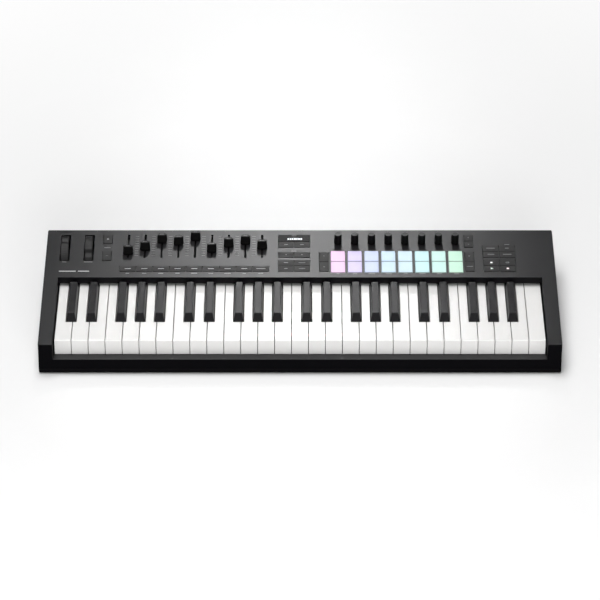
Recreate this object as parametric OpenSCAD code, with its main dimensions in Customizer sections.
// A 49-key controller keyboard with faders, knobs, pads and wheels, in millimetres.
// Origin: centre of the footprint on the desk. +X right, +Y to the back, +Z up.

/* [Case] */
// Width of the case, left to right
case_w = 725; // [715:1:760]
// Depth of the case, front to back
case_d = 267; // [262:1:290]
// Height of the top's front edge above the desk
front_h = 48.8; // [47:0.1:52]
// Slope of the top, rising to the back, in degrees
slope = 4.55; // [3:0.05:6]
// Wall thickness of the mouldings
wall = 2.5; // [2:0.1:3]
// Height of the rubber feet that shows under the case
foot_h = 2.5; // [2:0.5:4]
// Height of the seam between the two halves of the case
seam_h = 8; // [7:0.5:8]
// Radius of the four upright corners
corner_r = 3; // [1:0.5:6]
// Distance up the slope from the front edge to the lip over the keys
lip_l = 154.7; // [153:0.1:158]
// Height of the front rail before the keys
rail_h = 24.5; // [22:0.5:26]
// Depth of the front rail
rail_d = 13.5; // [12:0.5:14]

/* [Keys] */
// Number of octaves, before the last single key
octaves = 4; // [3:1:4]
// Spacing of the white keys
white_pitch = 23.5; // [23:0.1:23.6]
// Gap between white keys
key_gap = 1; // [0.6:0.1:1.4]
// Height of the white keys' tops above the desk
white_top = 46.3; // [45:0.1:46.5]
// Length of the wide front part of a white key
head_len = 46.9; // [45:0.1:49]
// Height of the black keys above the white ones
black_rise = 11.2; // [10:0.1:12]
// Width of a black key at its foot
black_w = 13.7; // [12.5:0.1:14]
// Width of a black key's top
black_top_w = 10; // [9:0.1:11]
// Distance of the hinge line behind the middle of the case
pivot_y = 52; // [51:0.5:53]

/* [Panel] */
// Spacing of the faders, the knobs and the pads
panel_pitch = 23.9; // [23.6:0.05:24]
// Length of a fader's travel
fader_travel = 46; // [40:1:46]
// Diameter of a knob
knob_d = 11; // [10:0.5:12]
// Height of a knob above the panel
knob_h = 16; // [14:0.5:17]
// Radius of the pitch and modulation wheels
wheel_r = 33; // [32:0.5:34]
// Width of a wheel
wheel_w = 11; // [10:0.2:11.4]
// Height of the pads above the panel
pad_rise = 1; // [0.6:0.1:2]
// Height of the buttons above the panel
button_rise = 0.7; // [0.4:0.1:1.2]

/* [Hidden] */
half_w = case_w / 2;
half_d = case_d / 2;
whites = 7 * octaves + 1;
keys_x0 = -whites * white_pitch / 2;
octave_w = 7 * white_pitch;
well_x = -keys_x0 + 1.85;
lip_y = -half_d + lip_l * cos(slope);
lip_bottom = white_top + 4.5;
cover_inner_x = half_w - wall;
round_fn = 48;
small_fn = 24;

// keys
key_front = -half_d + rail_d + 1.2;
notch_y = key_front + head_len;
tail_end = 30;
head_bottom = 22.3;
tail_bottom = 30;
key_wall = 1.6;
key_roof = 2.4;
black_front = notch_y + key_gap;
black_slope_run = 5.4;
black_end = 15.2;
black_bottom = 25.2;
black_neck_top = 47.5;
arm_w = 8;
arm_t = 2.5;
bar_y0 = 40;
rod_r = 2;
rod_play = 0.05;
post_w = 6;
post_y0 = 48;
post_y1 = 57;
// hinge heights of the three key mouldings in an octave
level_ceg = 43;
level_dfa = 37;
level_black = 31;
// where each black key sits on the seam between its two white keys
sharp_shift = [-2.4, 2.4, 0, -3.5, 0, 3.5];
sharp_seams = [1, 2, 4, 5, 6];
notch_half = (black_w + 1.9) / 2;
// places of the hinge posts within an octave
post_places = [1.5 * white_pitch, 5.5 * white_pitch];

// heights inside the case
frame_z = 7.5;
frame_t = 2;
felt_t = 1.5;
board_t = 1.6;
contact_z = 14.4;
dome_h = 4.2;
main_board_z = 24.6;

// panel rows, as distances up the slope
row_top = 255.9;
row_fader_low = 201.1;
row_pad_low = 165.8;
row_pad_mid = 191.4;
row_pad_high = 216.2;
row_button_low = 167.9;
row_mode_high = 195.35;
row_strip_high = 181.1;
row_wheel_low = 193.9;
wheel_l = 224.9;
wheel_h = -20;
knob_l = 236.3;
fader_x0 = -245.3;
fader_low_l = 206.3;
// how far up its travel each fader stands
fader_share = [0.15, 0.37, 0.76, 0.65, 0.88, 0.27, 0.54, 0.68, 0.43];
knob_x0 = 54.3;
pad_x0 = 54;
pad_w = 20;
pitch_x = -335.55;
mod_x = -301.5;
slot_half = 6.85;

// layers under the panel, measured square to it
flange_top = -wall - 0.1;
flange_bottom = -5;
board_top = -11.4;
button_play = 0.35;
flange_rim = 0.9;
leg_r = 2;
leg_bottom = -10;
stem_r = 3;

// blocks of buttons: [left, right, low row, high row, columns, rows]
octave_up_box = [-282.3, -268.6, 234.15, 255.65, 1, 1];
octave_down_box = [-282.3, -268.6, row_wheel_low, 216.4, 1, 1];
strip_box = [-256.4, -43.7, row_button_low, row_strip_high, 9, 1];
screen_box = [-31.3, 14.3, 239.2, row_top, 1, 1];
screen_button_box = [-31.3, 14.3, 225, 238.6, 2, 1];
track_box = [-31.4, 14.2, row_fader_low, 214, 2, 1];
mode_box = [-31.3, 14.2, row_button_low, row_mode_high, 2, 2];
bank_box = [27.1, 41, row_button_low, 214, 1, 2];
scene_box = [234.5, 248, row_button_low, 214.45, 1, 2];
encoder_bank_box = [234.65, 247.85, 225, row_top, 1, 2];
transport_up_box = [260.6, 307.2, row_fader_low, 230.3, 2, 2];
transport_down_box = [260.85, 306.35, row_button_low, 195.8, 2, 2];

// sockets in the back wall
socket_z = 38;
usb_x = -278;
midi_x = -250;
pedal_x = -226;
lock_x = -320;
jack_r = 3.2;
jack_nose_r = 5.5;
jack_len = 26;
mini_r = 1.8;
mini_nose_r = 4;
mini_len = 15;

// screws and feet
boss_r = 4;
screw_r = 1.5;
screw_head_r = 2.8;
foot_r = 9;
foot_places = [for (x = [-330, 0, 330], y = [-112, 112]) [x, y]];
side_screws = [for (x = [-353.5, 353.5], y = [-95, -20, 60]) [x, y]];
back_screws = [for (x = [-350, -209.5, -42, 28, 209.5, 350]) [x, 124]];
rail_screws = [for (x = [-240, -80, 80, 240]) [x, -126.3]];

// ---------- helpers ----------

// places its children on the sloped top: x across, l up the slope, h square to it
module on_panel(x = 0, l = 0, h = 0) {
  translate([0, -half_d, front_h]) rotate([slope, 0, 0]) translate([x, l, h]) children();
}

// a box on the sloped top between two corners
module panel_box(x0, x1, l0, l1, h0, h1) {
  on_panel(x0, l0, h0) cube([x1 - x0, l1 - l0, h1 - h0]);
}

module box(x0, x1, y0, y1, z0, z1) {
  translate([x0, y0, z0]) cube([x1 - x0, y1 - y0, z1 - z0]);
}

// a side profile drawn in Y and Z and carried across from x0 to x1
module side_profile(x0, x1, points) {
  translate([x0, 0, 0]) rotate([90, 0, 90]) linear_extrude(x1 - x0) polygon(points);
}

module rounded_plan(w, d, r) {
  square([w - 2 * r, d], center = true);
  square([w, d - 2 * r], center = true);
  for (x = [-1, 1], y = [-1, 1])
    translate([x * (w / 2 - r), y * (d / 2 - r)]) circle(r, $fn = round_fn);
}

function top_z(y) = front_h + (y + half_d) * tan(slope);

// ---------- keys ----------

// centre of the black key on seam s, counted in white keys from C
function sharp_x(s) = s * white_pitch + sharp_shift[s - 1];

// left and right sides of the narrow tail of white key k of an octave
function tail_x0(k) = (k == 0 || k == 3) ? k * white_pitch + key_gap / 2 : sharp_x(k) + notch_half;
function tail_x1(k) = (k == 2 || k == 6)
  ? (k + 1) * white_pitch - key_gap / 2
  : sharp_x(k + 1) - notch_half;

// one hollow white key: x0 and x1 bound its head, t0 and t1 its tail
module white_key(x0, x1, t0, t1, level) {
  difference() {
    union() {
      box(x0, x1, key_front, notch_y, head_bottom, white_top);
      box(t0, t1, key_front, tail_end, tail_bottom, white_top);
    }
    box(x0 + key_wall, x1 - key_wall, key_front + key_wall, notch_y - key_wall,
        head_bottom - 1, white_top - key_roof);
    box(t0 + key_wall, t1 - key_wall, key_front + key_wall, tail_end - key_wall,
        head_bottom - 1, white_top - key_roof);
  }
  middle = (t0 + t1) / 2;
  // plunger over the contacts
  box(middle - 2.5, middle + 2.5, -13, -7, black_bottom, white_top - key_roof + 0.5);
  // springy arm back to the hinge bar
  box(middle - arm_w / 2, middle + arm_w / 2, tail_end - 1, bar_y0 + 1,
      level - arm_t / 2, level + arm_t / 2);
}

// hinge bar and rod that joins the keys of one moulding, cut away at the posts
module hinge_bar(x0, x1, level, posts) {
  difference() {
    box(x0, x1, bar_y0, pivot_y, level - arm_t / 2, level + arm_t / 2);
    for (p = posts)
      box(p - post_w / 2 - 0.6, p + post_w / 2 + 0.6, post_y0 - 0.6, pivot_y + 1,
          level - arm_t, level + arm_t);
  }
  translate([x0, pivot_y, level]) rotate([0, 90, 0]) cylinder(h = x1 - x0, r = rod_r, $fn = round_fn);
}

module comb_bar(level) {
  hinge_bar(0.5, octave_w - 0.5, level, post_places);
}

module at_octave(n) {
  translate([keys_x0 + (n - 1) * octave_w, 0, 0]) children();
}

module white_comb(n, keys, level) {
  color([0.94, 0.94, 0.92]) at_octave(n) {
    for (k = keys)
      white_key(k * white_pitch + key_gap / 2, (k + 1) * white_pitch - key_gap / 2,
                tail_x0(k), tail_x1(k), level);
    comb_bar(level);
  }
}

module white_keys_ceg(n) { white_comb(n, [0, 2, 4, 6], level_ceg); }
module white_keys_dfa(n) { white_comb(n, [1, 3, 5], level_dfa); }

module white_key_top() {
  last = keys_x0 + octaves * octave_w;
  color([0.94, 0.94, 0.92]) {
    white_key(last + key_gap / 2, last + white_pitch - key_gap / 2,
              last + key_gap / 2, last + white_pitch - key_gap / 2, level_ceg);
    hinge_bar(last + 0.5, last + white_pitch - 0.5, level_ceg, [last + white_pitch / 2]);
  }
}

// tapered black key: its side outline crossed with its front outline
module black_key(x) {
  top = white_top + black_rise;
  translate([x, 0, 0]) {
    difference() {
      intersection() {
        side_profile(-black_w / 2, black_w / 2, [
          [black_front, black_bottom], [black_front, white_top],
          [black_front + black_slope_run, top], [black_end, top],
          [black_end + 0.8, black_neck_top], [tail_end, black_neck_top], [tail_end, black_bottom]
        ]);
        translate([0, tail_end + 1, 0]) rotate([90, 0, 0])
          linear_extrude(tail_end - black_front + 2)
            polygon([
              [-black_w / 2, black_bottom - 1], [-black_w / 2, white_top],
              [-black_top_w / 2, top], [black_top_w / 2, top],
              [black_w / 2, white_top], [black_w / 2, black_bottom - 1]
            ]);
      }
      box(-black_w / 2 + key_wall + 0.5, black_w / 2 - key_wall - 0.5,
          black_front + key_wall + 2, tail_end - key_wall, black_bottom - 1, white_top - key_roof);
    }
    // rib that presses the contacts
    box(-2.5, 2.5, -13, -7, black_bottom, white_top - key_roof + 0.5);
    box(-arm_w / 2, arm_w / 2, tail_end - 1, bar_y0 + 1,
        level_black - arm_t / 2, level_black + arm_t / 2);
  }
}

module black_keys(n) {
  color([0.1, 0.1, 0.11]) at_octave(n) {
    for (s = sharp_seams) black_key(sharp_x(s));
    comb_bar(level_black);
  }
}

// ---------- faders, knobs and wheels ----------

function fader_x(n) = fader_x0 + (n - 1) * (panel_pitch - 0.02);
function fader_l(n) = fader_low_l + fader_share[n - 1] * fader_travel;

module fader_cap(n) {
  color([0.07, 0.07, 0.08]) on_panel(fader_x(n), fader_l(n)) {
    difference() {
      // the cap: leaning front and back faces crossed with slightly tapered sides
      intersection() {
        rotate([90, 0, 90]) translate([0, 0, -7.5]) linear_extrude(15)
          polygon([[-6.6, 1], [-6.6, 2.2], [-2.6, 12.6], [2.6, 12.6], [6.6, 2.2], [6.6, 1]]);
        translate([0, 7, 0]) rotate([90, 0, 0]) linear_extrude(14)
          polygon([[-7.3, 0.5], [-7.3, 3.5], [-6.3, 13], [6.3, 13], [7.3, 3.5], [7.3, 0.5]]);
      }
      // hollow underside
      translate([-4.8, -3.2, 0]) cube([9.6, 6.4, 8.5]);
    }
    // stem down through the slot to the slider
    translate([-2, -1, 0.5]) cube([4, 2, 10]);
    translate([-0.6, -2, -7]) cube([1.2, 4, 8]);
  }
}

module fader_bodies() {
  color([0.6, 0.61, 0.62]) for (n = [1 : 9]) difference() {
    panel_box(fader_x(n) - 4.5, fader_x(n) + 4.5, 197, 262, board_top, -4.4);
    panel_box(fader_x(n) - 1, fader_x(n) + 1, fader_low_l - 3.5, fader_low_l + fader_travel + 3.5,
              -8.4, 0);
  }
}

function knob_x(n) = knob_x0 + (n - 1) * (panel_pitch + 0.05);

module knob(n) {
  color([0.07, 0.07, 0.08]) on_panel(knob_x(n), knob_l) {
    difference() {
      rotate_extrude($fn = round_fn)
        polygon([[0, 0.6], [knob_d / 2, 0.6], [knob_d / 2, 1.4], [knob_d / 2 - 0.25, knob_h - 0.6],
                 [knob_d / 2 - 0.8, knob_h], [0, knob_h]]);
      // hollow skirt round the shaft
      translate([0, 0, -1]) difference() {
        cylinder(h = 9, r = knob_d / 2 - 1.2, $fn = round_fn);
        cylinder(h = 9, r = stem_r, $fn = round_fn);
      }
    }
    // shaft that turns with the knob in the encoder
    translate([0, 0, -9]) cylinder(h = 12, r = stem_r, $fn = round_fn);
  }
}

module encoder_bodies() {
  color([0.55, 0.56, 0.58]) for (n = [1 : 8]) difference() {
    panel_box(knob_x(n) - 6, knob_x(n) + 6, knob_l - 6.5, knob_l + 6.5, board_top, -4.6);
    on_panel(knob_x(n), knob_l, -9.2) cylinder(h = 9, r = stem_r + 0.08, $fn = round_fn);
  }
}

// a wheel on a cross axle, with a finger groove across its rim at the given angle
module hand_wheel(x, groove_angle) {
  on_panel(x - wheel_w / 2, wheel_l, wheel_h) rotate([0, 90, 0]) difference() {
    cylinder(h = wheel_w, r = wheel_r, $fn = 120);
    translate([0, 0, -1]) cylinder(h = wheel_w + 2, r = 2.5, $fn = round_fn);
    rotate([0, 0, 180 + groove_angle]) translate([wheel_r + 4.6, 0, -1])
      cylinder(h = wheel_w + 2, r = 7, $fn = round_fn);
    // light recesses in both faces
    for (z = [-1, wheel_w - 2.5]) translate([0, 0, z]) difference() {
      cylinder(h = 3.5, r = wheel_r - 7, $fn = 96);
      translate([0, 0, -1]) cylinder(h = 6, r = 6, $fn = round_fn);
    }
  }
}

module pitch_wheel() { color([0.13, 0.13, 0.14]) hand_wheel(pitch_x, 0); }
module mod_wheel() { color([0.13, 0.13, 0.14]) hand_wheel(mod_x, 38); }

// hangers at the sides of the wheels and the axle through both
module wheel_bracket() {
  x0 = pitch_x - 9.2;
  x1 = mod_x + 11.5;
  middle = (pitch_x + mod_x) / 2;
  color([0.2, 0.2, 0.21]) {
    for (x = [x0, middle - 1.5, x1 - 2.4])
      panel_box(x, x + 2.4, wheel_l - 9, wheel_l + 9, wheel_h - 6, -wall);
    on_panel(x0, wheel_l, wheel_h) rotate([0, 90, 0])
      cylinder(h = x1 - x0, r = 2.45, $fn = round_fn);
  }
}

// ---------- buttons and pads ----------

// one silicone mat: caps through the panel, a rim under it, and a leg under each cap
module button_mat(b, rise, gap = 0.7) {
  w = (b[1] - b[0] - 2 * button_play - (b[4] - 1) * gap) / b[4];
  d = (b[3] - b[2] - 2 * button_play - (b[5] - 1) * gap) / b[5];
  panel_box(b[0] - flange_rim, b[1] + flange_rim, b[2] - flange_rim, b[3] + flange_rim,
            flange_bottom, flange_top);
  for (i = [0 : b[4] - 1], j = [0 : b[5] - 1]) {
    x = b[0] + button_play + i * (w + gap);
    l = b[2] + button_play + j * (d + gap);
    panel_box(x, x + w, l, l + d, flange_top - 0.5, rise);
    on_panel(x + w / 2, l + d / 2, leg_bottom)
      cylinder(h = flange_bottom - leg_bottom + 0.5, r = leg_r, $fn = small_fn);
  }
}

module octave_buttons() {
  color([0.22, 0.22, 0.23]) {
    button_mat(octave_up_box, button_rise);
    button_mat(octave_down_box, button_rise);
    // web under the panel that joins the two
    panel_box(-279, -272, 216, 235, flange_bottom, flange_top - 0.6);
  }
}
module fader_buttons() { color([0.22, 0.22, 0.23]) button_mat(strip_box, button_rise); }
module screen_buttons() { color([0.22, 0.22, 0.23]) button_mat(screen_button_box, button_rise); }
module track_buttons() { color([0.22, 0.22, 0.23]) button_mat(track_box, button_rise); }
module mode_buttons() { color([0.22, 0.22, 0.23]) button_mat(mode_box, button_rise); }
module pad_bank_buttons() { color([0.22, 0.22, 0.23]) button_mat(bank_box, button_rise); }
module scene_buttons() { color([0.22, 0.22, 0.23]) button_mat(scene_box, button_rise); }
module knob_bank_buttons() { color([0.22, 0.22, 0.23]) button_mat(encoder_bank_box, button_rise); }
module transport_buttons_upper() {
  color([0.22, 0.22, 0.23]) button_mat(transport_up_box, button_rise);
}
module transport_buttons_lower() {
  color([0.22, 0.22, 0.23]) button_mat(transport_down_box, button_rise);
}

function pad_x(i) = pad_x0 + (i - 1) * (panel_pitch + 0.03);

// sixteen pads on one silicone sheet
module pads() {
  color([0.85, 0.9, 0.95]) {
    panel_box(pad_x(1) - pad_w / 2 - flange_rim, pad_x(8) + pad_w / 2 + flange_rim,
              row_pad_low - flange_rim, row_pad_high + flange_rim, flange_bottom, flange_top);
    for (i = [1 : 8], r = [[row_pad_low, row_pad_mid - 0.6], [row_pad_mid + 0.6, row_pad_high]]) {
      panel_box(pad_x(i) - pad_w / 2, pad_x(i) + pad_w / 2, r[0], r[1], flange_top - 0.5, pad_rise);
      on_panel(pad_x(i), (r[0] + r[1]) / 2, leg_bottom)
        cylinder(h = flange_bottom - leg_bottom + 0.5, r = 4, $fn = small_fn);
    }
  }
}

// ---------- case ----------

// every hole through the sloped top
module panel_holes() {
  low = -wall - 1;
  high = 2;
  for (x = [pitch_x, mod_x])
    panel_box(x - slot_half, x + slot_half, row_wheel_low, row_top, low, high);
  for (b = [octave_up_box, octave_down_box, strip_box, track_box, mode_box, bank_box, scene_box,
            encoder_bank_box, transport_up_box, transport_down_box])
    panel_box(b[0], b[1], b[2], b[3], low, high);
  // the screen and its two buttons share one opening
  panel_box(screen_box[0], screen_box[1], screen_button_box[2], screen_box[3], low, high);
  for (n = [1 : 9])
    panel_box(fader_x(n) - 1.4, fader_x(n) + 1.4, row_fader_low, row_top, low, high);
  for (n = [1 : 8])
    on_panel(knob_x(n), knob_l, low) cylinder(h = wall + 3, r = 3.8, $fn = round_fn);
  for (i = [1 : 8])
    panel_box(pad_x(i) - pad_w / 2 - button_play, pad_x(i) + pad_w / 2 + button_play,
              row_pad_low - button_play, row_pad_high + button_play, low, high);
}

// openings of the sockets in the back wall
module back_holes() {
  y = half_d - wall - 1;
  box(usb_x - 5.2, usb_x + 5.2, y, half_d + 1, socket_z - 2.3, socket_z + 2.3);
  box(lock_x - 3.5, lock_x + 3.5, y, half_d + 1, socket_z - 1.7, socket_z + 1.7);
  translate([midi_x, y, socket_z]) rotate([-90, 0, 0])
    cylinder(h = wall + 2, r = mini_nose_r + 0.1, $fn = round_fn);
  translate([pedal_x, y, socket_z]) rotate([-90, 0, 0])
    cylinder(h = wall + 2, r = jack_nose_r + 0.1, $fn = round_fn);
}

module screw_boss(p, z1) {
  translate([p[0], p[1], seam_h]) cylinder(h = z1 - seam_h, r = boss_r, $fn = round_fn);
}

module boss_bore(p) {
  translate([p[0], p[1], seam_h - 1]) cylinder(h = 13, r = screw_r + 0.05, $fn = round_fn);
}

// the upper moulding: sloped panel, side cheeks, front rail and outer walls in one
module top_cover() {
  color([0.3, 0.3, 0.32]) difference() {
    union() {
      difference() {
        intersection() {
          side_profile(-half_w, half_w, [
            [-half_d, seam_h], [-half_d, front_h], [half_d, top_z(half_d)], [half_d, seam_h]]);
          linear_extrude(100) rounded_plan(case_w, case_d, corner_r);
        }
        side_profile(-cover_inner_x, cover_inner_x, [
          [-half_d + wall, seam_h - 1], [-half_d + wall, top_z(-half_d + wall) - wall],
          [half_d - wall, top_z(half_d - wall) - wall], [half_d - wall, seam_h - 1]]);
        // the key well, open at the top and to the front above the rail
        box(-well_x, well_x, -half_d - 1, lip_y, rail_h, 100);
      }
      // inner walls of the cheeks
      for (s = [0, 1]) mirror([s, 0, 0])
        side_profile(well_x, well_x + 2, [
          [-half_d + 1, seam_h], [-half_d + 1, top_z(-half_d + 1) - 1],
          [lip_y + 2, top_z(lip_y + 2) - 1], [lip_y + 2, seam_h]]);
      // lip over the back of the keys
      side_profile(-well_x - 1, well_x + 1, [
        [lip_y, lip_bottom], [lip_y, top_z(lip_y) - 1],
        [lip_y + 2, top_z(lip_y + 2) - 1], [lip_y + 2, lip_bottom]]);
      // top and inner wall of the front rail
      box(-well_x - 1, well_x + 1, -half_d + 1, -half_d + rail_d, rail_h - 2, rail_h);
      box(-well_x - 1, well_x + 1, -half_d + rail_d - 2, -half_d + rail_d, seam_h, rail_h - 1);
      for (p = side_screws) screw_boss(p, top_z(p[1]) - 1);
      for (p = back_screws) screw_boss(p, top_z(p[1]) - 1);
      for (p = rail_screws) screw_boss(p, rail_h - 1);
    }
    panel_holes();
    back_holes();
    for (p = concat(side_screws, back_screws, rail_screws)) boss_bore(p);
  }
}

module cover_screw_hole(p) {
  translate([p[0], p[1], foot_h - 1]) cylinder(h = 3.2, r = screw_head_r + 0.2, $fn = round_fn);
  translate([p[0], p[1], foot_h - 1]) cylinder(h = 10, r = screw_r + 0.3, $fn = round_fn);
}

// the lower moulding: a shallow tray that closes the case
module bottom_cover() {
  color([0.12, 0.12, 0.13]) difference() {
    union() {
      difference() {
        translate([0, 0, foot_h]) linear_extrude(seam_h - foot_h)
          rounded_plan(case_w, case_d, corner_r);
        translate([0, 0, foot_h + wall]) linear_extrude(seam_h)
          rounded_plan(case_w - 2 * wall, case_d - 2 * wall, corner_r - 1);
      }
      for (p = concat(side_screws, back_screws, rail_screws))
        translate([p[0], p[1], foot_h + 1]) cylinder(h = seam_h - foot_h - 1, r = 4.5, $fn = round_fn);
      for (p = foot_places)
        translate([p[0], p[1], foot_h + 1]) cylinder(h = 3, r = foot_r + 2, $fn = round_fn);
      // pillars under the key frame and the main board
      for (x = [-262.5 : 75 : 262.5], y = [-85, 58])
        translate([x, y, foot_h + 1]) cylinder(h = frame_z - foot_h - 1, r = 4, $fn = small_fn);
      for (x = [-285, -221], y = [86, 112])
        translate([x, y, foot_h + 1]) cylinder(h = main_board_z - foot_h - 1, r = 3, $fn = small_fn);
      // stiffening ribs
      for (y = [-40, 20]) box(-half_w + 1, half_w - 1, y, y + 2, foot_h + 1, foot_h + wall + 1.5);
    }
    for (p = concat(side_screws, back_screws, rail_screws)) cover_screw_hole(p);
    for (p = foot_places)
      translate([p[0], p[1], 0]) cylinder(h = foot_h + 1.2, r = foot_r + 0.1, $fn = round_fn);
    // vent slots under the boards
    for (i = [0 : 11]) box(-55 + 10 * i, -52 + 10 * i, 66, 100, foot_h - 1, foot_h + wall + 1);
  }
}

module rubber_feet() {
  color([0.08, 0.08, 0.08]) for (p = foot_places)
    translate([p[0], p[1], 0]) rotate_extrude($fn = round_fn)
      polygon([[0, 0], [foot_r - 1.4, 0], [foot_r - 0.6, 0.6], [foot_r, foot_h + 1.2],
               [0, foot_h + 1.2]]);
}

module case_screws() {
  color([0.35, 0.35, 0.37]) for (p = concat(side_screws, back_screws, rail_screws))
    translate([p[0], p[1], 0]) difference() {
      union() {
        translate([0, 0, foot_h + 0.3]) cylinder(h = 1.9, r = screw_head_r, $fn = round_fn);
        translate([0, 0, foot_h + 2]) cylinder(h = 14, r = screw_r, $fn = round_fn);
      }
      for (a = [0, 90]) rotate([0, 0, a]) translate([-1.6, -0.35, 0]) cube([3.2, 0.7, foot_h + 1.3]);
    }
}

// ---------- inside ----------

// bores for one hinge level, open to the back so that the rods snap in
module rod_bore(x, level) {
  translate([x - post_w, pivot_y, level]) rotate([0, 90, 0])
    cylinder(h = 2 * post_w, r = rod_r + rod_play, $fn = round_fn);
  box(x - post_w, x + post_w, pivot_y, post_y1 + 1, level - 1.5, level + 1.5);
}

// the chassis under the keys, with the hinge posts, felt rails and guide pegs
module key_frame() {
  all_posts = [
    for (n = [0 : octaves - 1], p = post_places) keys_x0 + n * octave_w + p,
    keys_x0 + (whites - 0.5) * white_pitch
  ];
  color([0.16, 0.16, 0.17]) {
    difference() {
      box(keys_x0, -keys_x0, -114, 62, frame_z, frame_z + frame_t);
      // lightening windows
      for (x = [-300 : 75 : 300], y = [-91, -50])
        translate([x - 22, y, 0]) cube([44, 20, 20]);
    }
    box(keys_x0, -keys_x0, -114, -104, frame_z + frame_t, frame_z + frame_t + 1.2);
    box(keys_x0, -keys_x0, -64, -56, frame_z + frame_t, 16.4);
    for (y = [-22, 1]) box(keys_x0, -keys_x0, y, y + 3, frame_z + frame_t, contact_z);
    for (k = [0 : whites - 1])
      translate([keys_x0 + (k + 0.5) * white_pitch - 4, -101, frame_z + frame_t])
        cube([8, 8, 33 - frame_z - frame_t]);
    for (x = all_posts) difference() {
      box(x - post_w / 2, x + post_w / 2, post_y0, post_y1, frame_z + frame_t, 46.6);
      for (level = [level_ceg, level_dfa, level_black]) rod_bore(x, level);
    }
  }
}

// felt strips that the keys land on
module key_felts() {
  color([0.75, 0.2, 0.2]) {
    box(keys_x0 + 1, -keys_x0 - 1, -113.5, -104.5, frame_z + frame_t + 1.2,
        frame_z + frame_t + 1.2 + felt_t);
    box(keys_x0 + 1, -keys_x0 - 1, -63.5, -56.5, 16.4, 16.4 + felt_t);
  }
}

module contact_board() {
  color([0.1, 0.35, 0.2])
    box(keys_x0 + 1, -keys_x0 - 1, -23, 5, contact_z, contact_z + board_t);
}

// silicone strip with one dome under each key
module dome_strip() {
  z = contact_z + board_t;
  color([0.7, 0.7, 0.68]) {
    box(keys_x0 + 2, -keys_x0 - 2, -18, -2, z, z + 1);
    for (n = [0 : octaves - 1]) translate([keys_x0 + n * octave_w, -10, z + 0.5]) {
      for (k = [0 : 6]) translate([(tail_x0(k) + tail_x1(k)) / 2, 0, 0]) dome();
      for (s = sharp_seams) translate([sharp_x(s), 0, 0]) dome();
    }
    translate([keys_x0 + (whites - 0.5) * white_pitch, -10, z + 0.5]) dome();
  }
}

module dome() {
  cylinder(h = dome_h, r1 = 3.4, r2 = 2.2, $fn = small_fn);
}

// circuit board that carries the faders, encoders and contacts under the panel
module panel_board() {
  color([0.1, 0.35, 0.2]) difference() {
    panel_box(-287, 314, 162, 263, board_top - board_t, board_top);
    for (p = back_screws) translate([p[0], p[1], 0]) cylinder(h = 100, r = boss_r + 0.8, $fn = round_fn);
  }
}

// processor board at the back, with the sockets along its edge
module main_board() {
  color([0.1, 0.35, 0.2]) {
    top = main_board_z + board_t;
    box(-290, -216, 80, 129, main_board_z, top);
    box(-262, -248, 88, 102, top - 0.2, top + 1.4);
    for (x = [-276, -232]) translate([x, 92, top - 0.2]) cylinder(h = 9, r = 3, $fn = small_fn);
  }
}

// screen window with the panel module bonded behind it
module display() {
  b = screen_box;
  color([0.02, 0.02, 0.03]) {
    panel_box(b[0] + 0.25, b[1] - 0.25, b[2] + 0.2, b[3] - 0.25, -2.2, 0.2);
    panel_box(b[0] + 2, b[1] - 2, b[2] + 1.5, b[3] - 1.5, board_top, -2);
  }
}

// a flat metal shell with a tongue in it
module usb_socket() {
  depth = 8;
  y = half_d - wall - depth + 1.8;
  color([0.7, 0.7, 0.72]) {
    difference() {
      box(usb_x - 4.7, usb_x + 4.7, y, y + depth, socket_z - 1.9, socket_z + 1.9);
      box(usb_x - 4.3, usb_x + 4.3, y + 1.5, y + depth + 1, socket_z - 1.45, socket_z + 1.45);
    }
    box(usb_x - 3.3, usb_x + 3.3, y + 1, y + depth - 1, socket_z - 0.35, socket_z + 0.35);
    for (x = [-4.5, 3.5])
      translate([usb_x + x, y + 1, main_board_z + board_t])
        cube([1, 4, socket_z - 1.5 - main_board_z - board_t]);
  }
}

// a jack socket: its body on the board, its nose through the back wall, and a blind bore
module jack_socket(x, bore_r, bore_len, nose_r, body_half, body_top) {
  y = half_d - wall;
  color([0.1, 0.1, 0.1]) difference() {
    union() {
      box(x - body_half, x + body_half, y - bore_len + 1, y, main_board_z + board_t, socket_z + body_top);
      translate([x, y - 1, socket_z]) rotate([-90, 0, 0])
        cylinder(h = wall + 1, r = nose_r, $fn = round_fn);
    }
    translate([x, y - bore_len + wall, socket_z]) rotate([-90, 0, 0])
      cylinder(h = bore_len + 1, r = bore_r, $fn = round_fn);
  }
}

// for a footswitch on a 6.35 mm plug
module pedal_socket() { jack_socket(pedal_x, jack_r, jack_len, jack_nose_r, 7.5, 8); }

// for MIDI on a 3.5 mm plug
module midi_socket() { jack_socket(midi_x, mini_r, mini_len, mini_nose_r, 5, 5.5); }

// ---------- assembly ----------

for (n = [1 : octaves]) {
  white_keys_ceg(n);
  white_keys_dfa(n);
  black_keys(n);
}
white_key_top();
for (n = [1 : 9]) fader_cap(n);
for (n = [1 : 8]) knob(n);
pitch_wheel();
mod_wheel();
octave_buttons();
fader_buttons();
screen_buttons();
track_buttons();
mode_buttons();
pad_bank_buttons();
scene_buttons();
knob_bank_buttons();
transport_buttons_upper();
transport_buttons_lower();
pads();
top_cover();
bottom_cover();
key_frame();
key_felts();
contact_board();
dome_strip();
panel_board();
main_board();
display();
wheel_bracket();
fader_bodies();
encoder_bodies();
usb_socket();
pedal_socket();
midi_socket();
rubber_feet();
case_screws();
